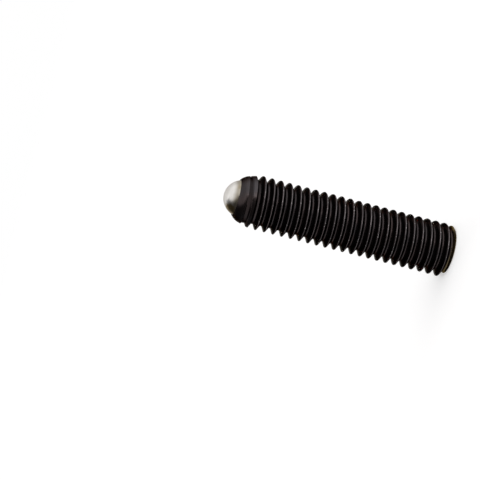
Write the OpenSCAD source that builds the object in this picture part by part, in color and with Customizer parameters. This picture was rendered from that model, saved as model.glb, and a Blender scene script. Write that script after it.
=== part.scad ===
/* [Thread] */
// Outer diameter, over the crests
thread_d = 5.95; // [5.6:0.05:7]
// Pitch, from crest to crest
thread_pitch = 1; // [0.75:0.05:1.25]
// Angle between the two flanks of a groove
flank_angle = 60; // [55:1:60]
// Angle round the screw at which a crest meets the socket face
thread_start = 310; // [0:5:355]
// Flat steps that make up one turn
turn_steps = 36; // [24:4:48]
// Distance from the lip at which the groove has its full depth
runout_len = 2.4; // [1.5:0.1:4]
// Slope at which its root rises from there towards the lip
runout_angle = 7; // [5:1:14]

/* [Body] */
// Length of the body, from the socket face to the lip round the ball
body_len = 24.5; // [16:0.5:40]
// Outer diameter of the flat ring on the socket face
face_d = 5.2; // [4.7:0.1:5.4]
// Slope of the chamfer behind that ring, from the screw's axis
chamfer_angle = 45; // [30:5:60]
// Slope of the nose's taper, from the screw's axis
nose_angle = 16; // [12:1:20]
// Radius of the round that the nose is rolled to, in front of the taper
nose_round = 1.7; // [1.2:0.1:2.4]
// Slope of that round where it meets the lip, from the screw's axis
lip_angle = 51; // [40:1:60]

/* [Hexagon socket] */
// Width of the socket across its flats
socket_af = 3; // [2.5:0.1:3.2]
// Depth of the flats, from the socket face
socket_depth = 3.5; // [2:0.1:5]
// Diameter of the drilled hole that the socket was broached from
drill_d = 2.9; // [2:0.1:2.9]
// Full angle of the drill's point
drill_angle = 120; // [90:5:140]
// Diameter of the countersink at the socket's mouth
sink_d = 4.1; // [3.7:0.05:4.4]
// Full angle of the countersink
sink_angle = 120; // [90:5:130]

/* [Ball] */
// Diameter of the ball
ball_d = 4; // [3.5:0.1:4.2]
// How far the ball stands out of the lip
ball_proud = 1.4; // [1.2:0.05:1.7]
// Running clearance all round the ball
ball_clearance = 0.03; // [0.02:0.01:0.06]
// Width of the flat edge of the lip
lip_w = 0.09; // [0.06:0.01:0.2]
// Full angle of the drilled seat behind the ball
seat_angle = 120; // [100:5:140]

/* [Hidden] */
$fn = 96;
// A cut runs this far past the face that it opens
over = 1;

// Thread form: a sharp triangle, cut off flat by an eighth of the pitch at the crest and
// by a fifth at the root
thread_r = thread_d / 2;
crest_w = thread_pitch / 8;
root_w = thread_pitch / 5;
flank_run = (thread_pitch - crest_w - root_w) / 2;
thread_depth = flank_run / tan(flank_angle / 2);

// Heights along the screw, which stands on its socket face with the ball on top
lip_z = body_len;
ball_r = ball_d / 2;
ball_z = lip_z - ball_r + ball_proud;
seat_r = ball_r + ball_clearance;

// Nose: the lip's flat edge, then a round, then the taper that is tangent to the round. All as
// points of the half section, radius and height. The taper is given where it would meet the lip
lip_r = sqrt(seat_r * seat_r - (lip_z - ball_z) * (lip_z - ball_z)) + lip_w;
to_lip = [cos(lip_angle), sin(lip_angle)];
to_taper = [cos(nose_angle), sin(nose_angle)];
round_centre = [lip_r, lip_z] - nose_round * to_lip;
taper_end = round_centre + nose_round * to_taper;
taper_r = taper_end[0] - (lip_z - taper_end[1]) * tan(nose_angle);

// Thread steps, from a whole turn below the socket face to above the lip
step_angle = 360 / turn_steps;
first_step = floor(turn_steps * (thread_start / 360 - 1)) - 2;
last_step = ceil(turn_steps * (thread_start / 360 + lip_z / thread_pitch)) + 2;
steps = last_step - first_step;

// Height at which the crest starts at a step
function step_z(i) = thread_pitch * (i / turn_steps - thread_start / 360) - crest_w / 2;

// The groove runs out on the nose: its root rises evenly until the taper cuts it off
function groove_r(z) =
    thread_r - max(0, thread_depth - max(0, z - lip_z + runout_len) * tan(runout_angle));

// The four corners of the thread form at a step: both ends of the crest, then of the root
function corner(i, j) =
    let (
        z = step_z(i) + [0, crest_w, crest_w + flank_run, crest_w + flank_run + root_w][j],
        r = j < 2 ? thread_r : groove_r(z),
        a = step_angle * i
    )
    [r * cos(a), r * sin(a), z];

// A rod threaded from end to end: four corners at each step, and one more turn of crest
// starts that closes the last groove
module threaded_rod() {
    turns = [for (i = [0:steps]) for (j = [0:3]) corner(first_step + i, j)];
    closing = [for (i = [1:turn_steps]) corner(last_step + i, 0)];
    bottom = len(turns) + len(closing);
    ends = [[0, 0, step_z(first_step)], [0, 0, step_z(last_step + turn_steps)]];

    // Index of corner j at a step, where corner 4 is the next turn's crest start
    function at(i, j) =
        j == 4 ? at(i + turn_steps, 0) : i <= steps ? 4 * i + j : len(turns) + i - steps - 1;

    sides = [
        for (i = [0:steps - 1]) for (j = [0:3])
            each [[at(i, j), at(i, j + 1), at(i + 1, j + 1)], [at(i, j), at(i + 1, j + 1), at(i + 1, j)]]
    ];
    bottom_fan = [
        each [for (i = [0:turn_steps - 1]) [bottom, at(i, 0), at(i + 1, 0)]],
        each [for (j = [0:3]) [bottom, at(0, j + 1), at(0, j)]]
    ];
    top_fan = [
        each [for (i = [steps:steps + turn_steps - 1]) [bottom + 1, at(i + 1, 0), at(i, 0)]],
        each [for (j = [0:3]) [bottom + 1, at(steps, j), at(steps, j + 1)]]
    ];
    polyhedron(points = concat(turns, closing, ends), faces = concat(sides, bottom_fan, top_fan));
}

// Half section of the turned blank, radius against height
module blank_section() {
    outer_r = thread_r + over;
    past_taper = (nose_round + over) * to_taper;
    past_lip = (nose_round + over) * to_lip;
    difference() {
        polygon([
            [0, 0], [face_d / 2, 0],
            [outer_r, (outer_r - face_d / 2) / tan(chamfer_angle)],
            [outer_r, lip_z - (outer_r - taper_r) / tan(nose_angle)],
            [taper_r, lip_z], [0, lip_z]
        ]);
        difference() {
            translate(round_centre) polygon([[0, 0], past_taper, past_lip + past_taper, past_lip]);
            translate(round_centre) circle(nose_round);
        }
    }
}

// Half section of the ball's pocket: drilled, with the lip rolled over the ball
module pocket_section() {
    cone_tip = seat_r / sin(seat_angle / 2);
    cone_top = cone_tip - seat_r / tan(seat_angle / 2);
    union() {
        intersection() {
            translate([0, ball_z]) circle(seat_r);
            translate([0, ball_z]) square(seat_r + over);
        }
        polygon([
            [0, ball_z], [seat_r, ball_z], [seat_r, ball_z - cone_top], [0, ball_z - cone_tip]
        ]);
    }
}

// The hexagon socket, its countersunk mouth and the drilled hole's point
module socket() {
    sink_r = sink_d / 2;
    drill_r = drill_d / 2;
    translate([0, 0, -over])
        cylinder(h = socket_depth + over, d = socket_af / cos(30), $fn = 6);
    cylinder(h = sink_r / tan(sink_angle / 2), r1 = sink_r, r2 = 0);
    translate([0, 0, socket_depth])
        cylinder(h = drill_r / tan(drill_angle / 2), r1 = drill_r, r2 = 0);
}

module screw_body() {
    color("#26221f") difference() {
        intersection() {
            threaded_rod();
            rotate_extrude() blank_section();
        }
        socket();
        rotate_extrude() pocket_section();
    }
}

module thrust_ball() {
    color("#c9c6c0") translate([0, 0, ball_z]) sphere(ball_r);
}

screw_body();
thrust_ball();
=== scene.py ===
# %% [markdown]
# # A ball-ended set screw
# A headless steel screw, threaded from end to end. One end has a hexagon socket for a key. In the
# other, a rolled lip holds a hardened ball, which presses on the work and can turn as it does.
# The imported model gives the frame: sizes, places and the two bodies, the screw and the ball. This
# script makes the two pieces that are seen, with the same sizes and a finer surface.

# %% Load the frame
import math

import bmesh
import bpy
from mathutils import Matrix, Vector


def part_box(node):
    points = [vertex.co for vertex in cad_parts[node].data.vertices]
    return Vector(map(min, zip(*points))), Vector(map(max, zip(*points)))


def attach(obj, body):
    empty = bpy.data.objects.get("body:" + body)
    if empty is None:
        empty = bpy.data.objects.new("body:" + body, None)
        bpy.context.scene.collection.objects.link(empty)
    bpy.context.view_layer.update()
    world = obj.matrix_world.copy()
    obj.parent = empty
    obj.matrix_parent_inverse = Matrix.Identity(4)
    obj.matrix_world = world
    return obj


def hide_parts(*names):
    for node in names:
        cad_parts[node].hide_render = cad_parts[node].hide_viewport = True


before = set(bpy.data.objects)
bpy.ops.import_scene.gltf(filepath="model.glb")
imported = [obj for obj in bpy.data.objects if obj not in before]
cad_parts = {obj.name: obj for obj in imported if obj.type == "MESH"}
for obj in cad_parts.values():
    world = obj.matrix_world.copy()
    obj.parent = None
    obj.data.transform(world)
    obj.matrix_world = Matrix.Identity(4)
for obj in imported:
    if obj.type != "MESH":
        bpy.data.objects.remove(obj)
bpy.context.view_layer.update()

# %% [markdown]
# ## Working in millimetres
# Blender's unit here is the metre, and this screw is 25.9 mm long. Small numbers make booleans and
# merges fussy, so each mesh is built in millimetres and shrunk once, when it is finished. The
# lengths below are the screw's own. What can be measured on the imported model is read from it.

# %% Sizes of the screw
METRE = 0.001
body_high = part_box("screw_body")[1] / METRE
ball_low, ball_high = (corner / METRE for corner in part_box("thrust_ball"))

PITCH = 1.0
THREAD_R = body_high.x
LIP_Z = body_high.z
BALL_R = (ball_high.z - ball_low.z) / 2
BALL_Z = (ball_high.z + ball_low.z) / 2
print(f"thread radius {THREAD_R:.3f}, lip at {LIP_Z:.2f}, ball radius {BALL_R:.2f} at {BALL_Z:.2f} mm")

# %% [markdown]
# ## Plain colours out
# The Standard view transform shows a colour as it is written, with no film curve over it. That
# makes it possible to compare a render with a photograph, number for number.

# %% View settings
scene = bpy.context.scene
scene.view_settings.view_transform = "Standard"
print("view transform:", scene.view_settings.view_transform)

# %% [markdown]
# ## The camera
# A long lens looks at the screw from the side. In the picture the screw slopes down to the right,
# and its socket end lies a little further away than the ball. The screw itself stands upright in
# this scene, so it is the camera that is rolled. Its three axes are worked out from the slope and
# the recession, and its place from the pixel at which the ball's tip has to appear.

# %% Camera
# The picture's size and the lens's distance from it, both in pixels
IMAGE_SIZE = 480
FOCAL_PIXELS = 1500
# The slope of the screw's axis in the picture, and its tilt away from the viewer
SLOPE = math.radians(14.08)
RECESSION = math.radians(8.95)
# Where the ball's tip appears, and how many metres in front of the lens it is
TIP_PIXEL = (223.9, 194.1)
TIP_DISTANCE = 0.1626
SENSOR_WIDTH = 36


def camera_matrix():
    """The camera's place. It sees each world axis as a step right, up and towards itself."""
    along = math.cos(RECESSION)
    world_z = Vector((-along * math.cos(SLOPE), along * math.sin(SLOPE), math.sin(RECESSION)))
    to_viewer = Vector((0, 0, 1))
    world_y = -(to_viewer - to_viewer.dot(world_z) * world_z).normalized()
    world_x = world_y.cross(world_z)
    turn = Matrix((world_x, world_y, world_z))
    right = (TIP_PIXEL[0] - IMAGE_SIZE / 2) / FOCAL_PIXELS
    up = (IMAGE_SIZE / 2 - TIP_PIXEL[1]) / FOCAL_PIXELS
    tip_seen = Vector((right, up, -1)) * TIP_DISTANCE
    tip = Vector((0, 0, ball_high.z * METRE))
    return Matrix.Translation(tip - turn @ tip_seen) @ turn.to_4x4()


camera = bpy.data.objects.new("camera", bpy.data.cameras.new("camera"))
scene.collection.objects.link(camera)
camera.data.sensor_width = SENSOR_WIDTH
camera.data.lens = FOCAL_PIXELS / IMAGE_SIZE * SENSOR_WIDTH
camera.data.clip_start, camera.data.clip_end = 0.005, 20
camera.matrix_world = camera_matrix()
scene.camera = camera
print("camera at", [round(x, 4) for x in camera.location], "lens", camera.data.lens)

# %% [markdown]
# ## Shader nodes with less typing
# A node tree is a list of nodes and links. The first helper adds a node, sets its properties and
# inputs in one call, and links an input when it is given another node's output. The others wrap the
# few nodes that a mask is made of: sums, ramps, blends and directions.


# %% Node helper
def add_node(tree, kind, inputs=None, **properties):
    """A new node. An input's value is a number, a colour or another node's output socket."""
    node = tree.nodes.new(kind)
    for name, value in properties.items():
        setattr(node, name, value)
    for name, value in (inputs or {}).items():
        if isinstance(value, bpy.types.NodeSocket):
            tree.links.new(value, node.inputs[name])
        else:
            node.inputs[name].default_value = value
    return node


# %% Mask helpers
def math_node(tree, operation, first, second=0.0, third=0.0):
    """The output of a Math node."""
    return add_node(tree, "ShaderNodeMath", {0: first, 1: second, 2: third}, operation=operation).outputs[0]


def ramp(tree, value, edge, low=0.0, high=1.0, shape="LINEAR"):
    """A value that goes from low to high between the two ends of the edge."""
    step = add_node(
        tree, "ShaderNodeMapRange",
        {"Value": value, "From Min": edge[0], "From Max": edge[1], "To Min": low, "To Max": high},
        interpolation_type=shape,
    )
    return step.outputs["Result"]


def soft_step(tree, value, edge, low=0.0, high=1.0):
    """A ramp that starts and ends softly."""
    return ramp(tree, value, edge, low, high, "SMOOTHSTEP")


def blend_values(tree, share, first, second):
    """The value a share of the way from the first to the second."""
    return add_node(tree, "ShaderNodeMix", {0: share, 2: first, 3: second}, data_type="FLOAT").outputs[0]


def vector_node(tree, operation, first, second=(0, 0, 0)):
    """A Vector Math node."""
    return add_node(tree, "ShaderNodeVectorMath", {0: first, 1: second}, operation=operation)


def dot_product(tree, first, second):
    """How far the first direction points along the second."""
    return vector_node(tree, "DOT_PRODUCT", first, second).outputs["Value"]


# %% [markdown]
# ## The studio
# Black steel has almost no colour of its own: it shows what is around it. A big softbox fills the
# side of the world that is up in the picture. It is brightest along its front edge, where its lamp
# hangs, and fades to a plain level behind the screw. A second light hangs over the ball, tilted to
# the camera's side, and the rest of the room is dark. The softbox's front edge draws the clean lower
# edge of the light along the nose. Each light is a cap of the sky: its edge gives two cosines of
# the angle from its middle, one where it starts and one where it is full. Seen directly the world
# is plain white, and matt surfaces get only a share of the light, so that the floor keeps its shadow.

# %% Lights
# A side is a light's middle. The edge behind the screw is measured from straight behind it
SOFTBOX_SIDE = Vector((0.84, 0.52, -0.10)).normalized()
SOFTBOX_EDGE = (-0.23, -0.15)
SOFTBOX = 1.5
LAMP_EDGE = (0.02, -0.08)
LAMP = 2.7
BEHIND_EDGE = (0.05, 0.45)
BEHIND = 1.0
OVERHEAD_SIDE = Vector((0.20, -0.35, 0.92)).normalized()
OVERHEAD_EDGE = (0.72, 0.88)
OVERHEAD = 1.2
DARK_ROOM = 0.07
MATT_SHARE = 0.75
print("light levels:", {"softbox": SOFTBOX, "lamp": LAMP, "behind": BEHIND, "overhead": OVERHEAD})


# %% World
def background_rays(tree):
    """Two masks: the camera's own rays, and with them the mirrored and refracted ones."""
    path = add_node(tree, "ShaderNodeLightPath").outputs
    shiny = math_node(tree, "MAXIMUM", path["Is Glossy Ray"], path["Is Transmission Ray"])
    return path["Is Camera Ray"], math_node(tree, "MAXIMUM", path["Is Camera Ray"], shiny)


def studio_level(tree, facing):
    """How bright the studio is in a direction."""
    inside = dot_product(tree, facing, SOFTBOX_SIDE)
    over = dot_product(tree, facing, OVERHEAD_SIDE)
    behind = add_node(tree, "ShaderNodeSeparateXYZ", {0: facing}).outputs["Y"]
    softbox = soft_step(tree, inside, LAMP_EDGE, SOFTBOX, LAMP)
    softbox = blend_values(tree, soft_step(tree, behind, BEHIND_EDGE), softbox, BEHIND)
    level = blend_values(tree, soft_step(tree, inside, SOFTBOX_EDGE), DARK_ROOM, softbox)
    return blend_values(tree, soft_step(tree, over, OVERHEAD_EDGE), level, OVERHEAD)


def studio_world():
    """White for the camera, and the lights for the object."""
    world = bpy.data.worlds.new("studio")
    world.use_nodes = True
    tree = world.node_tree
    tree.nodes.clear()
    level = studio_level(tree, add_node(tree, "ShaderNodeTexCoord").outputs["Generated"])
    camera_ray, background = background_rays(tree)
    share = blend_values(tree, background, MATT_SHARE, 1.0)
    strength = blend_values(tree, camera_ray, math_node(tree, "MULTIPLY", level, share), 1.0)
    light = add_node(tree, "ShaderNodeBackground", {"Color": (1, 1, 1, 1), "Strength": strength})
    add_node(tree, "ShaderNodeOutputWorld", {"Surface": light.outputs[0]})
    return world


scene.world = studio_world()
print("world:", scene.world.name, "with", len(scene.world.node_tree.nodes), "nodes")

# %% [markdown]
# ## The floor
# A sheet of white paper. To the camera, and in what mirrors it, it also glows a little, so that it
# comes out white without more light on the screw. The glow is only a part of its brightness, so
# the shadow of the screw stays.

# %% Floor
FLOOR_REACH = 4.0
FLOOR_GLOW = 0.51
PAPER = (0.86, 0.85, 0.85, 1)


def paper():
    """White paper with a faint glow for the rays that see the background."""
    material = bpy.data.materials.new("white_paper")
    material.use_nodes = True
    tree = material.node_tree
    tree.nodes.clear()
    _, background = background_rays(tree)
    glow = math_node(tree, "MULTIPLY", background, FLOOR_GLOW)
    matt = add_node(tree, "ShaderNodeBsdfDiffuse", {"Color": PAPER})
    lit = add_node(tree, "ShaderNodeEmission", {"Color": (1, 1, 1, 1), "Strength": glow})
    both = add_node(tree, "ShaderNodeAddShader", {0: matt.outputs[0], 1: lit.outputs[0]})
    add_node(tree, "ShaderNodeOutputMaterial", {"Surface": both.outputs[0]})
    return material


floor_mesh = bpy.data.meshes.new("floor")
floor_bm = bmesh.new()
bmesh.ops.create_grid(floor_bm, x_segments=1, y_segments=1, size=FLOOR_REACH)
floor_bm.to_mesh(floor_mesh)
floor_bm.free()
floor = bpy.data.objects.new("floor", floor_mesh)
floor.data.materials.append(paper())
scene.collection.objects.link(floor)
print("floor reaches", max(vert.co.x for vert in floor_mesh.vertices), "m from the screw")

# %% [markdown]
# ## Outlines as wires
# A lathe and a thread-rolling die both work from a section. Here a section is a wire of corners in
# the X-Z plane, radius against height. Corners that are round on the screw are bevelled on the
# wire, before the spin turns it into a surface, which is far easier than rounding the solid later.


# %% Wire helpers
def wire(points):
    """A wire through points given as (radius, height)."""
    bm = bmesh.new()
    corners = [bm.verts.new((radius, 0, height)) for radius, height in points]
    for corner, end in zip(corners, corners[1:]):
        bm.edges.new((corner, end))
    return bm


def round_corners(bm, points, reach, segments):
    """Rounds the corners of a wire at these points, each from a reach before it to a reach behind it."""
    places = [Vector((radius, 0, height)) for radius, height in points]
    corners = [min(bm.verts, key=lambda vert: (vert.co - place).length) for place in places]
    bmesh.ops.bevel(
        bm, geom=corners, offset=reach, offset_type="OFFSET",
        affect="VERTICES", segments=segments, profile=0.5, material=-1,
    )


def to_object(bm, name):
    """An object that holds the mesh, and the end of the bmesh."""
    mesh = bpy.data.meshes.new(name)
    bm.to_mesh(mesh)
    bm.free()
    made = bpy.data.objects.new(name, mesh)
    scene.collection.objects.link(made)
    return made


# %% [markdown]
# ## One pitch of thread
# A metric thread is a 60 degree triangle with its tips cut off: an eighth of the pitch at the crest
# and, on this rolled screw, about a fifth at the root. Both come out of the dies slightly round. The
# section runs from the middle of one crest to the middle of the next, so that each turn meets the
# next one exactly.

# %% Thread section
CREST_W = PITCH / 8
ROOT_W = PITCH / 5
FLANK_ANGLE = math.radians(60)
FLANK_RUN = (PITCH - CREST_W - ROOT_W) / 2
THREAD_DEPTH = FLANK_RUN / math.tan(FLANK_ANGLE / 2)
# How far the rounding of a crest's and a root's corner reaches along the section
CREST_SOFT = 0.058
ROOT_SOFT = 0.075
SOFT_SEGMENTS = 3
FLANK_CUTS = 2


def thread_section(start_height):
    """The wire of one pitch, with softened crest and root."""
    crest, root = THREAD_R, THREAD_R - THREAD_DEPTH
    half_crest = CREST_W / 2
    first_crest = (crest, start_height)
    crest_end = (crest, start_height + half_crest)
    root_start = (root, start_height + half_crest + FLANK_RUN)
    root_end = (root, start_height + half_crest + FLANK_RUN + ROOT_W)
    next_crest = (crest, start_height + PITCH - half_crest)
    last_crest = (crest, start_height + PITCH)
    bm = wire([first_crest, crest_end, root_start, root_end, next_crest, last_crest])
    round_corners(bm, [crest_end, next_crest], CREST_SOFT, SOFT_SEGMENTS)
    round_corners(bm, [root_start, root_end], ROOT_SOFT, SOFT_SEGMENTS)
    flanks = [edge for edge in bm.edges if edge.calc_length() > FLANK_RUN]
    bmesh.ops.subdivide_edges(bm, edges=flanks, cuts=FLANK_CUTS)
    return bm


print(f"thread: {THREAD_DEPTH:.3f} mm deep, {FLANK_RUN:.3f} mm from crest to root")

# %% [markdown]
# ## Winding it up
# The Screw tool of the editor is a spin that also climbs. In bmesh it is the same operator with a
# dvec, the climb of each step. It gets slow as the mesh grows, so it winds one turn here, and that
# turn is copied upwards pitch by pitch. A crest meets the socket face at 310 degrees, so at 0
# degrees the crests lie that share of a pitch lower. The turns below the face and above the lip
# are cut off later.

# %% Run-out
# Distance below the lip at which the root starts to rise, and the slope at which it does
RUNOUT_LENGTH = 2.4
RUNOUT_SLOPE = math.radians(7)


def raise_runout(bm):
    """Lets the root of the groove rise towards the nose, as the dies leave it."""
    for vert in bm.verts:
        past = max(0.0, vert.co.z - (LIP_Z - RUNOUT_LENGTH))
        least = THREAD_R - max(0.0, THREAD_DEPTH - past * math.tan(RUNOUT_SLOPE))
        radius = vert.co.xy.length
        if radius < least:
            vert.co.xy *= least / radius


def close_boundary(bm):
    """Closes each open end of a tube with a fan of triangles round one middle vertex."""
    rim = [edge for edge in bm.edges if edge.is_boundary]
    caps = bmesh.ops.edgenet_fill(bm, edges=rim)["faces"]
    bmesh.ops.poke(bm, faces=caps)


# %% Threaded rod
STEPS = 120
START_ANGLE = 310
SPARE_TURNS = 1
# Vertices of two turns that lie closer than this are the same corner
TURN_MERGE = 0.004


def threaded_rod():
    """A closed rod, threaded over its whole length."""
    turns = math.ceil(LIP_Z / PITCH) + 2 * SPARE_TURNS + 1
    bm = thread_section(-(START_ANGLE / 360 + SPARE_TURNS) * PITCH)
    bmesh.ops.spin(
        bm, geom=bm.verts[:] + bm.edges[:], cent=(0, 0, 0), axis=(0, 0, 1),
        dvec=(0, 0, PITCH / STEPS), angle=math.tau, steps=STEPS,
    )
    first_turn = bm.verts[:] + bm.edges[:] + bm.faces[:]
    for turn in range(1, turns):
        copied = bmesh.ops.duplicate(bm, geom=first_turn)["geom"]
        moved = [item for item in copied if isinstance(item, bmesh.types.BMVert)]
        bmesh.ops.translate(bm, verts=moved, vec=(0, 0, turn * PITCH))
    bmesh.ops.remove_doubles(bm, verts=bm.verts[:], dist=TURN_MERGE)
    raise_runout(bm)
    close_boundary(bm)
    bmesh.ops.recalc_face_normals(bm, faces=bm.faces[:])
    print("threaded rod:", len(bm.faces), "faces,", turns, "turns")
    return to_object(bm, "threaded_rod")


rod = threaded_rod()

# %% [markdown]
# ## The turned blank
# Everything round on the screw, apart from its thread, is one half section: the flat ring that it
# stands on, the chamfer behind it, the taper and the rolled round of the nose, the pocket for the
# ball, and at the bottom the countersink and the drilled hole that the socket is broached from. The
# chamfer slopes at 45 degrees, so it climbs as far as it goes outwards.

# %% Sizes of the blank
RING_R = 5.2 / 2
NOSE_SLOPE = math.radians(16)
NOSE_ROUND = 1.7
LIP_SLOPE = math.radians(51)
LIP_W = 0.09
CLEARANCE = 0.03
SEAT_R = BALL_R + CLEARANCE
SINK_R = 4.1 / 2
DRILL_R = 2.9 / 2
SOCKET_DEPTH = 3.5
POINT_SLOPE = math.radians(60)
EDGE_BREAK = 0.03
# A cut runs this far past the face that it opens
OVER = 1.0

# How finely the round stretches are divided, and what lies close enough to be merged
NOSE_SEGMENTS = 12
SEAT_SEGMENTS = 6
EDGE_SEGMENTS = 2
BLANK_STEPS = 192
POLE_MERGE = 0.002
print(f"pocket radius {SEAT_R:.2f}, socket {SOCKET_DEPTH} mm deep")


# %% Blank
def arc(centre, radius, start_angle, end_angle, segments):
    """Points of an arc, for a wire. At angle 0 the arc faces away from the axis, at 90 degrees up."""
    angles = [start_angle + (end_angle - start_angle) * i / segments for i in range(segments + 1)]
    return [(centre[0] + radius * math.cos(a), centre[1] + radius * math.sin(a)) for a in angles]


def blank_section():
    """The wire of the half section, from the tip of the drill's point to the bottom of the pocket."""
    outer = THREAD_R + OVER
    mouth_angle = math.asin((LIP_Z - BALL_Z) / SEAT_R)
    lip_r = SEAT_R * math.cos(mouth_angle) + LIP_W
    nose_centre = (lip_r - NOSE_ROUND * math.cos(LIP_SLOPE), LIP_Z - NOSE_ROUND * math.sin(LIP_SLOPE))
    nose = arc(nose_centre, NOSE_ROUND, NOSE_SLOPE, LIP_SLOPE, NOSE_SEGMENTS)
    taper_end = nose[0]
    cone_floor = BALL_Z - SEAT_R / math.sin(POINT_SLOPE)
    cone_top = cone_floor + SEAT_R / math.tan(POINT_SLOPE)
    bm = wire([
        (0, SOCKET_DEPTH + DRILL_R / math.tan(POINT_SLOPE)),
        (DRILL_R, SOCKET_DEPTH),
        (DRILL_R, (SINK_R - DRILL_R) / math.tan(POINT_SLOPE)),
        (SINK_R, 0),
        (RING_R, 0),
        (outer, outer - RING_R),
        (outer, taper_end[1] - (outer - taper_end[0]) / math.tan(NOSE_SLOPE)),
        *nose,
        *arc((0, BALL_Z), SEAT_R, mouth_angle, 0, SEAT_SEGMENTS),
        (SEAT_R, cone_top),
        (0, cone_floor),
    ])
    round_corners(bm, [(SINK_R, 0), (RING_R, 0)], EDGE_BREAK, EDGE_SEGMENTS)
    return bm


def blank():
    """The section spun into a solid."""
    bm = blank_section()
    bmesh.ops.spin(
        bm, geom=bm.verts[:] + bm.edges[:], cent=(0, 0, 0), axis=(0, 0, 1),
        angle=math.tau, steps=BLANK_STEPS, use_merge=True,
    )
    bmesh.ops.remove_doubles(bm, verts=bm.verts[:], dist=POLE_MERGE)
    loose = [edge for edge in bm.edges if not edge.link_faces]
    bmesh.ops.delete(bm, geom=loose, context="EDGES")
    bmesh.ops.recalc_face_normals(bm, faces=bm.faces[:])
    print("blank:", len(bm.faces), "faces")
    return to_object(bm, "blank")


turned_blank = blank()

# %% [markdown]
# ## The hexagon socket
# A broach with six flats is pushed into the drilled hole. As a shape it is a six-sided cylinder,
# and create_cone makes one when both radii are equal. The radius is measured to the corners, which
# is 15 % more than half the 3 mm across the flats.

# %% Broach
ACROSS_FLATS = 3.0
# Half the turn from one corner of the hexagon to the next
CORNER_TURN = math.radians(30)


def broach():
    """The six-sided tool, standing in the socket and sticking out below."""
    bm = bmesh.new()
    corner_r = ACROSS_FLATS / 2 / math.cos(CORNER_TURN)
    length = SOCKET_DEPTH + OVER
    made = bmesh.ops.create_cone(
        bm, cap_ends=True, cap_tris=False, segments=6, radius1=corner_r, radius2=corner_r, depth=length
    )
    bmesh.ops.rotate(bm, verts=made["verts"], matrix=Matrix.Rotation(CORNER_TURN, 3, "Z"))
    bmesh.ops.translate(bm, verts=made["verts"], vec=(0, 0, length / 2 - OVER))
    across = max(vert.co.x for vert in bm.verts)
    print(f"broach: reaches {across:.3f} mm along X")
    return to_object(bm, "broach")


hexagon = broach()

# %% [markdown]
# ## Cutting the body
# The body is what the threaded rod and the turned blank have in common, less the socket. Two
# booleans do that, in the order of the workshop. Where the taper and the chamfer cut through the
# thread, the crests fade out by themselves, as they do on the real screw. A boolean leaves slivers
# along its cuts, so the mesh is cleaned before it is shaded.

# %% Booleans
# What a cut leaves is merged or dissolved below these lengths
CUT_MERGE = 0.0008
CUT_SLIVER = 0.0004
# Faces that meet at more than this angle keep a sharp edge between them
SHARP_ANGLE = math.radians(34)


def cut(target, tool, operation):
    """Applies one boolean to the target's mesh, and removes the tool."""
    step = target.modifiers.new("cut", "BOOLEAN")
    step.object, step.operation, step.solver = tool, operation, "EXACT"
    bpy.context.view_layer.update()
    result = bpy.data.meshes.new_from_object(target.evaluated_get(bpy.context.evaluated_depsgraph_get()))
    target.modifiers.clear()
    target.data = result
    bpy.data.objects.remove(tool)
    print(operation, "leaves", len(result.polygons), "faces")


def finish_mesh(piece, name):
    """Cleans a mesh, shrinks it to metres, and shades it smooth between its sharp edges."""
    bm = bmesh.new()
    bm.from_mesh(piece.data)
    bmesh.ops.remove_doubles(bm, verts=bm.verts[:], dist=CUT_MERGE)
    bmesh.ops.dissolve_degenerate(bm, edges=bm.edges[:], dist=CUT_SLIVER)
    loose = [vert for vert in bm.verts if not vert.link_faces]
    bmesh.ops.delete(bm, geom=loose, context="VERTS")
    bmesh.ops.recalc_face_normals(bm, faces=bm.faces[:])
    open_edges = sum(len(edge.link_faces) != 2 for edge in bm.edges)
    bmesh.ops.scale(bm, verts=bm.verts[:], vec=(METRE,) * 3)
    bm.to_mesh(piece.data)
    bm.free()
    piece.name = piece.data.name = name
    piece.data.shade_smooth()
    piece.data.set_sharp_from_angle(angle=SHARP_ANGLE)
    piece.data.calc_loop_triangles()
    print(name, "has", len(piece.data.loop_triangles), "triangles and", open_edges, "open edges")


cut(rod, turned_blank, "INTERSECT")
cut(rod, hexagon, "DIFFERENCE")
finish_mesh(rod, "threaded_body")
threaded_body = rod

# %% [markdown]
# ## The ball
# Bearing balls are ground and lapped until they are round to a thousandth of a millimetre. A sphere
# made of latitude rings has a knot of thin triangles at each pole, just where this ball points out
# of the screw. An icosphere has triangles of nearly one size all over, so it shades evenly.

# %% Ball
BALL_SUBDIVISIONS = 6


def make_ball():
    """The ball in its seat."""
    bm = bmesh.new()
    bmesh.ops.create_icosphere(bm, subdivisions=BALL_SUBDIVISIONS, radius=BALL_R)
    bmesh.ops.translate(bm, verts=bm.verts[:], vec=(0, 0, BALL_Z))
    return to_object(bm, "polished_ball")


polished_ball = make_ball()
finish_mesh(polished_ball, "polished_ball")

# %% [markdown]
# ## Measuring from the axis
# Both pieces are round about one axis, so what happens on them follows the distance from it and the
# height along it. This group turns Object coordinates into those two, in millimetres, and every pattern
# below reads them. Object coordinates stay with a piece when it moves.

# %% Group helpers
FLOAT, VECTOR = "NodeSocketFloat", "NodeSocketVector"


def new_group(name, inputs, outputs):
    """An empty node group with named sockets, what it is given, and its end node."""
    tree = bpy.data.node_groups.new(name, "ShaderNodeTree")
    for socket, kind in inputs:
        tree.interface.new_socket(socket, in_out="INPUT", socket_type=kind)
    for socket, kind in outputs:
        tree.interface.new_socket(socket, in_out="OUTPUT", socket_type=kind)
    return tree, tree.nodes.new("NodeGroupInput").outputs, tree.nodes.new("NodeGroupOutput")


def put_out(tree, end, results):
    """Links the results to a group's named outputs, and prints what it takes and gives."""
    for name, result in results.items():
        tree.links.new(result, end.inputs[name])
    takes = [item.name for item in tree.interface.items_tree if item.in_out == "INPUT"]
    print(tree.name, "takes", takes, "and gives", list(results))
    return tree


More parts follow.
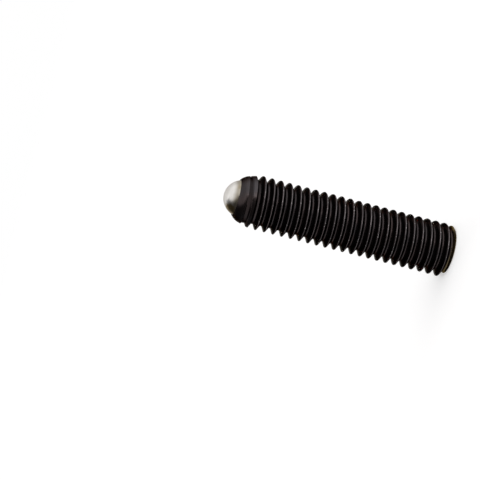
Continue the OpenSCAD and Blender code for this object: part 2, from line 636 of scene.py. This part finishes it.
# %% Axis group
def axis_group():
    """Object coordinates in millimetres, the distance from the axis and the height along it."""
    tree, _, end = new_group("from_axis", [], [("Point", VECTOR), ("Radius", FLOAT), ("Height", FLOAT)])
    place = add_node(tree, "ShaderNodeTexCoord").outputs["Object"]
    scaled = add_node(tree, "ShaderNodeVectorMath", {0: place, "Scale": 1 / METRE}, operation="SCALE")
    point = scaled.outputs[0]
    flat = vector_node(tree, "MULTIPLY", point, (1, 1, 0)).outputs[0]
    radius = vector_node(tree, "LENGTH", flat).outputs["Value"]
    height = add_node(tree, "ShaderNodeSeparateXYZ", {0: point}).outputs["Z"]
    return put_out(tree, end, {"Point": point, "Radius": radius, "Height": height})


from_axis = axis_group()

# %% [markdown]
# ## Where the root is
# How far a point is along the thread is its height less the climb of the thread at its angle. The
# fraction of that is 0 on a crest and a half in the middle of a root, on the full thread and also
# where the groove runs out on the nose, where a distance from the axis says nothing.

# %% Thread phase group
# The mask fades out over this share of a pitch on each side of the root
ROOT_FADE = 0.08


def thread_phase_group():
    """A mask for the root of the thread, by the place within one pitch."""
    tree, given, end = new_group(
        "thread_phase", [("Point", VECTOR), ("Root width", FLOAT)], [("Root", FLOAT)]
    )
    axes = add_node(tree, "ShaderNodeSeparateXYZ", {0: given["Point"]}).outputs
    turned = math_node(tree, "DIVIDE", math_node(tree, "ARCTAN2", axes["Y"], axes["X"]), math.tau)
    climb = math_node(tree, "SUBTRACT", turned, START_ANGLE / 360)
    along = math_node(tree, "SUBTRACT", math_node(tree, "DIVIDE", axes["Z"], PITCH), climb)
    past_middle = math_node(tree, "SUBTRACT", math_node(tree, "FRACT", along), 0.5)
    to_root = math_node(tree, "ABSOLUTE", past_middle)
    half_width = math_node(tree, "MULTIPLY", given["Root width"], 0.5)
    faded = math_node(tree, "ADD", half_width, ROOT_FADE)
    return put_out(tree, end, {"Root": soft_step(tree, to_root, (half_width, faded), 1.0, 0.0)})


thread_phase = thread_phase_group()

# %% [markdown]
# ## Turning marks
# A lathe tool leaves fine rings, finer than the eye can count. They aren't evenly deep, so they are
# a noise that changes fast along the height and hardly at all round the screw: the point is
# multiplied by a different number along the height than across it before the noise reads it.

# %% Turning marks group
# How much the noise changes over a millimetre across the screw, and where the mask starts and ends
CHANGE_ACROSS = 0.12
MARK_EDGE = (0.35, 0.7)


def noise(tree, point, scale, detail, roughness=0.5):
    """A noise from 0 to 1."""
    inputs = {"Vector": point, "Scale": scale, "Detail": detail, "Roughness": roughness}
    return add_node(tree, "ShaderNodeTexNoise", inputs).outputs["Fac"]


def turning_group():
    """Fine rings round the axis: a height for the bump and a mask for colour."""
    tree, given, end = new_group(
        "turning_marks", [("Point", VECTOR), ("Rings per mm", FLOAT)], [("Height", FLOAT), ("Mask", FLOAT)]
    )
    stretch = {"X": CHANGE_ACROSS, "Y": CHANGE_ACROSS, "Z": given["Rings per mm"]}
    stretch = add_node(tree, "ShaderNodeCombineXYZ", stretch).outputs[0]
    rings = vector_node(tree, "MULTIPLY", given["Point"], stretch).outputs[0]
    height = noise(tree, rings, scale=1.0, detail=3.0, roughness=0.6)
    return put_out(tree, end, {"Height": height, "Mask": ramp(tree, height, MARK_EDGE)})


turning_marks = turning_group()

# %% [markdown]
# ## Wear on the crests
# A screw knocks about in its tin, and only its crests touch anything. There the black finish is
# rubbed thin and the steel shines through, in most places as a faint grey line and here and there
# as a bright nick. The group finds the crests by their radius and breaks the line up with noise.

# %% Crest wear group
# Values of the noise between which a patch goes from its least wear to full, and a nick appears
PATCH_EDGE = (0.35, 0.65)
PATCH_LEAST = 0.3
NICK_EDGE = (0.63, 0.70)


def crest_wear_group():
    """Two masks at the crests: a faint rubbed line and a few bright nicks."""
    tree, given, end = new_group(
        "crest_wear",
        [("Point", VECTOR), ("Radius", FLOAT), ("Crest radius", FLOAT), ("Depth", FLOAT)],
        [("Rubbed", FLOAT), ("Nicks", FLOAT)],
    )
    foot = math_node(tree, "SUBTRACT", given["Crest radius"], given["Depth"])
    crest = soft_step(tree, given["Radius"], (foot, given["Crest radius"]))
    patches = noise(tree, given["Point"], scale=0.9, detail=3.0)
    rubbed = math_node(tree, "MULTIPLY", crest, ramp(tree, patches, PATCH_EDGE, PATCH_LEAST))
    spots = noise(tree, given["Point"], scale=5.5, detail=1.0)
    nicks = math_node(tree, "MULTIPLY", crest, ramp(tree, spots, NICK_EDGE))
    return put_out(tree, end, {"Rubbed": rubbed, "Nicks": nicks})


crest_wear = crest_wear_group()

# %% [markdown]
# ## An oil film
# Blackened steel is sold oiled. The film lies in soft patches, browner where it is thick, and on
# the black finish it shines a little more there. It is on the ball too, so it is a group that both
# materials use. Its cover says how much of the surface the patches take up.

# %% Oil film group
FILM_FADE = 0.15


def oil_film_group():
    """A soft patchy mask."""
    tree, given, end = new_group(
        "oil_film", [("Point", VECTOR), ("Patches per mm", FLOAT), ("Cover", FLOAT)], [("Film", FLOAT)]
    )
    patches = noise(tree, given["Point"], scale=given["Patches per mm"], detail=4.0)
    middle = math_node(tree, "SUBTRACT", 1.0, given["Cover"])
    dry = math_node(tree, "SUBTRACT", middle, FILM_FADE)
    oiled = math_node(tree, "ADD", middle, FILM_FADE)
    return put_out(tree, end, {"Film": soft_step(tree, patches, (dry, oiled))})


oil_film = oil_film_group()

# %% [markdown]
# ## A material round one shader
# A group puts out colours, masks and heights. The shader itself stays in the material, and the last
# helpers join the two: one places a group, one lays a colour over another through a mask, and one
# turns a height into the normal that the shader reads.

# %% Material helpers
# Height of the turning marks in metres, before the strength of the bump
MARK_HEIGHT = 0.01 * METRE


def use_group(tree, group, inputs=None):
    """The outputs of a node that stands for a group."""
    return add_node(tree, "ShaderNodeGroup", inputs, node_tree=group).outputs


def blend_colours(tree, share, first, second):
    """The colour a share of the way from the first to the second."""
    mix = add_node(tree, "ShaderNodeMix", {0: share, 6: first, 7: second}, data_type="RGBA")
    return mix.outputs[2]


def bumped_normal(tree, height, strength):
    """The normal of a surface with fine marks on it."""
    inputs = {"Strength": strength, "Distance": MARK_HEIGHT, "Height": height}
    return add_node(tree, "ShaderNodeBump", inputs).outputs[0]


def new_material(name):
    """A material with its Principled shader linked, and its tree."""
    material = bpy.data.materials.new(name)
    material.use_nodes = True
    tree = material.node_tree
    tree.nodes.clear()
    shader = tree.nodes.new("ShaderNodeBsdfPrincipled")
    add_node(tree, "ShaderNodeOutputMaterial", {"Surface": shader.outputs[0]})
    return material, tree, shader


# %% [markdown]
# ## Black oxide
# The finish is a thin black layer grown on the steel itself, and it mirrors like a very dark metal.
# So Metallic is 1 all over, and the colour says how much it mirrors. Any metal turns bright where it
# is seen at a flat angle. Specular Tint darkens that, and keeps the outline black against a white
# floor. The colour is laid on in coats, each through a mask: brown oil, sooty turning marks, grime
# with painted shade in the groove, a darker rolled round towards the lip, thin brown oxide on the
# turned socket end, and last the worn crests, dimmed by painted shade on the side away from the
# softbox.

# %% Black steel colours
BLACK = (0.061, 0.055, 0.058, 1)
BROWN = (0.071, 0.054, 0.053, 1)
# Near-black for sooty turning marks, for painted shade in the groove and for the darker rolled round
SOOT_AND_SHADE = (0.015, 0.0115, 0.0115, 1)
THIN_OXIDE = (0.16, 0.125, 0.07, 1)
RUBBED_STEEL = (0.19, 0.173, 0.178, 1)
BARE_STEEL = (0.42, 0.40, 0.40, 1)
EDGE_TINT = (0.33, 0.32, 0.30, 1)

# %% Where the coats lie
# Heights between which a coat fades in
GROOVE_TOP = (LIP_Z - 0.75, LIP_Z - 0.85)
DEEP_GROOVE = (LIP_Z - 1.9, LIP_Z - 2.2)
ROLLED_ROUND = (LIP_Z - 0.9, LIP_Z - 0.4)
TURNED_END = (0.40, 0.28)
# Radius at which grime and painted shade start on the flanks below the crest, and places along X over which
# the painted shade on the worn crests gives way to full wear
BELOW_CREST = (THREAD_R - 0.004, THREAD_R - 0.02)
LIT_SIDE_RAMP = (-1.6, 1.0)
# How much of each coat there is
MARK_SOOT = 0.30
RUNOUT_GRIME_AND_SHADE = 0.75
ROOT_GRIME_AND_SHADE = 0.35
FLANK_GRIME_AND_SHADE = 0.9
ROUND_SOOT = 0.45
# How much of the crest wear is left on the side in painted shade
SHADED_SIDE_WEAR = 0.3
# Roughness of the dry finish and under oil, and what the turning marks add
DRY_ROUGH = 0.27
OILED_ROUGH = 0.20
MARK_ROUGH = 0.08


# %% Coats of the black finish
def groove_grime_and_shade(tree, axis):
    """How much grime and painted shade lie in the groove: in its root, and where it is deep on its flanks
    too.
    """
    # Painted shade with some grime: the root and the deep flanks are darkened where the thread shades its
    # own groove
    root = use_group(tree, thread_phase, {"Point": axis["Point"], "Root width": 0.34})["Root"]
    deep = soft_step(tree, axis["Height"], DEEP_GROOVE)
    in_root = math_node(tree, "MULTIPLY", root, soft_step(tree, axis["Height"], GROOVE_TOP))
    in_root = math_node(tree, "MULTIPLY", in_root, blend_values(tree, deep, RUNOUT_GRIME_AND_SHADE, ROOT_GRIME_AND_SHADE))
    flank = soft_step(tree, axis["Radius"], BELOW_CREST)
    flank = math_node(tree, "MULTIPLY", flank, math_node(tree, "SUBTRACT", 1.0, root))
    on_flank = math_node(tree, "MULTIPLY", math_node(tree, "MULTIPLY", flank, deep), FLANK_GRIME_AND_SHADE)
    return math_node(tree, "ADD", in_root, on_flank)


def worn_crests(tree, axis, colour):
    """The colour with rubbed crests, dimmed by painted shade on the side away from the softbox, and a few
    bright nicks over it.
    """
    inputs = {"Point": axis["Point"], "Radius": axis["Radius"], "Crest radius": THREAD_R, "Depth": 0.012}
    wear = use_group(tree, crest_wear, inputs)
    # Painted shade: the rubbed crest lines are cut back towards -X, the side away from the softbox
    across = add_node(tree, "ShaderNodeSeparateXYZ", {0: axis["Point"]}).outputs["X"]
    rubbed = math_node(tree, "MULTIPLY", wear["Rubbed"], soft_step(tree, across, LIT_SIDE_RAMP, SHADED_SIDE_WEAR))
    colour = blend_colours(tree, rubbed, colour, RUBBED_STEEL)
    return blend_colours(tree, wear["Nicks"], colour, BARE_STEEL)


def black_colour(tree, axis, film, marks):
    """All coats of colour, one over the other."""
    colour = blend_colours(tree, film, BLACK, BROWN)
    colour = blend_colours(tree, math_node(tree, "MULTIPLY", marks, MARK_SOOT), colour, SOOT_AND_SHADE)
    # Painted shade, with some grime, darkens the groove
    colour = blend_colours(tree, groove_grime_and_shade(tree, axis), colour, SOOT_AND_SHADE)
    rolled = soft_step(tree, axis["Height"], ROLLED_ROUND, high=ROUND_SOOT)
    colour = blend_colours(tree, rolled, colour, SOOT_AND_SHADE)
    colour = blend_colours(tree, soft_step(tree, axis["Height"], TURNED_END), colour, THIN_OXIDE)
    return worn_crests(tree, axis, colour)


# %% Black steel
def black_steel():
    """Black oxide with an oil film, turning marks and worn crests."""
    material, tree, shader = new_material("black_oxide_steel")
    axis = use_group(tree, from_axis)
    oil = {"Point": axis["Point"], "Patches per mm": 0.45, "Cover": 0.48}
    film = use_group(tree, oil_film, oil)["Film"]
    rings = use_group(tree, turning_marks, {"Point": axis["Point"], "Rings per mm": 13.0})
    tree.links.new(black_colour(tree, axis, film, rings["Mask"]), shader.inputs["Base Color"])
    shader.inputs["Metallic"].default_value = 1.0
    shader.inputs["Specular Tint"].default_value = EDGE_TINT
    rough = ramp(tree, film, (0.0, 1.0), DRY_ROUGH, OILED_ROUGH)
    rough = math_node(tree, "MULTIPLY_ADD", rings["Mask"], MARK_ROUGH, rough)
    tree.links.new(rough, shader.inputs["Roughness"])
    tree.links.new(bumped_normal(tree, rings["Height"], strength=0.25), shader.inputs["Normal"])
    print(material.name, "has", len(tree.nodes), "nodes")
    return material


threaded_body.data.materials.clear()
threaded_body.data.materials.append(black_steel())

# %% [markdown]
# ## Polished steel
# The ball is bare, bright and warm against the black. Its polish shows the softbox as off-white, and
# a pale edge tint keeps its outline from melting into the white behind it. Round the lip the oil
# collects in the gap and creeps a little way up, as a brown tarnish that also carries painted shade
# near the lip. On one side a dark patch is a painted reflection of dark surroundings. It is a cap
# round a direction from the ball's centre, with a ragged edge.

# %% Bright steel colours
BRIGHT_STEEL = (0.67, 0.65, 0.625, 1)
TARNISH_AND_SHADE = (0.23, 0.195, 0.14, 1)
# The colour of a painted dark reflection on one side of the ball
PAINTED_DARK_REFLECTION = (0.20, 0.15, 0.075, 1)
BALL_EDGE_TINT = (0.72, 0.70, 0.68, 1)

# %% Oil, painted shade and a painted reflection on the ball
# Heights between which the tarnish and painted shade fade out, how strong they are there, and under oil
# elsewhere
LIP_STAIN_AND_SHADE = (LIP_Z + 0.15, LIP_Z + 0.75)
LIP_TARNISH_AND_SHADE = 0.8
FILM_TARNISH = 0.18
# The painted reflection's side, the cosines between which it fades in, and how ragged its edge is
REFLECTION_SIDE = Vector((-0.72, -0.44, 0.53)).normalized()
REFLECTION_EDGE = (0.90, 0.975)
REFLECTION_RAGGED = 0.10
# Roughness of the polish, and what the finest grinding marks add
POLISH_ROUGH = 0.27
GRINDING_ROUGH = 0.06


def painted_reflection_mask(tree, point):
    """1 inside a ragged patch on one side of the ball, where a dark reflection is painted."""
    from_centre = vector_node(tree, "SUBTRACT", point, (0, 0, BALL_Z)).outputs[0]
    outward = vector_node(tree, "NORMALIZE", from_centre).outputs[0]
    facing = dot_product(tree, outward, REFLECTION_SIDE)
    uneven = noise(tree, point, scale=2.5, detail=3.0)
    inside = math_node(tree, "MULTIPLY_ADD", uneven, REFLECTION_RAGGED, facing)
    return soft_step(tree, math_node(tree, "SUBTRACT", inside, REFLECTION_RAGGED / 2), REFLECTION_EDGE)


# %% Bright steel
def bright_steel():
    """Lapped steel with a film of oil, tarnish and painted shade towards the lip, and a painted dark
    reflection on one side.
    """
    material, tree, shader = new_material("polished_steel")
    axis = use_group(tree, from_axis)
    oil = {"Point": axis["Point"], "Patches per mm": 1.1, "Cover": 0.45}
    film = use_group(tree, oil_film, oil)["Film"]
    rings = use_group(tree, turning_marks, {"Point": axis["Point"], "Rings per mm": 9.0})
    # Tarnish near the lip, darkened further as painted shade
    near_lip = soft_step(tree, axis["Height"], LIP_STAIN_AND_SHADE, LIP_TARNISH_AND_SHADE, 0.0)
    stain_and_shade = math_node(tree, "MULTIPLY_ADD", film, FILM_TARNISH, near_lip)
    colour = blend_colours(tree, stain_and_shade, BRIGHT_STEEL, TARNISH_AND_SHADE)
    # A painted dark reflection on one side of the ball
    colour = blend_colours(tree, painted_reflection_mask(tree, axis["Point"]), colour, PAINTED_DARK_REFLECTION)
    tree.links.new(colour, shader.inputs["Base Color"])
    shader.inputs["Metallic"].default_value = 1.0
    shader.inputs["Specular Tint"].default_value = BALL_EDGE_TINT
    rough = math_node(tree, "MULTIPLY_ADD", rings["Mask"], GRINDING_ROUGH, POLISH_ROUGH)
    tree.links.new(rough, shader.inputs["Roughness"])
    tree.links.new(bumped_normal(tree, rings["Height"], strength=0.12), shader.inputs["Normal"])
    print(material.name, "has", len(tree.nodes), "nodes")
    return material


polished_ball.data.materials.append(bright_steel())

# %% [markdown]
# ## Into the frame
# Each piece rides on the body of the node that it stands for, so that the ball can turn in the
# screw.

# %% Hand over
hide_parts("screw_body")
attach(threaded_body, "screw")
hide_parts("thrust_ball")
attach(polished_ball, "ball")
